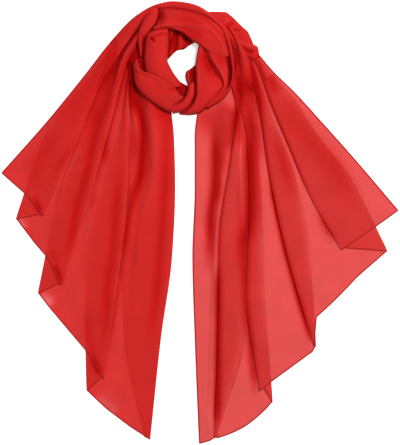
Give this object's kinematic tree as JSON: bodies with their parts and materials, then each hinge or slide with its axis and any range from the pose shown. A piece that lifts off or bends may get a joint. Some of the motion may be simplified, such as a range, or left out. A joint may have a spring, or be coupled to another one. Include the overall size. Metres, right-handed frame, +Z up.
{
  "type": "chiffon scarf",
  "caption": "Long sheer scarf laid flat, wound once round its neck opening, with both ends fanned out in soft folded layers.",
  "frame": {"origin": "middle of the laid-out scarf's outline, on the surface it lies on", "axes": "+Z up from the surface, +Y from the hems towards the top of the neck loop, +X to the right as seen from above"},
  "size_m": [0.664, 0.741, 0.035],
  "materials": {
    "chiffon": "sheer plain weave, soft matt sheen"
  },
  "bodies": {
    "root": {"left_fall": "chiffon", "right_fall": "chiffon", "loop_over": "chiffon", "loop_side": "chiffon", "loop_chin": "chiffon", "loop_inner": "chiffon", "loop_inside": "chiffon", "loop_wedge": "chiffon", "loop_tuck": "chiffon", "shoulder_turn": "chiffon"}
  },
  "joints": []
}
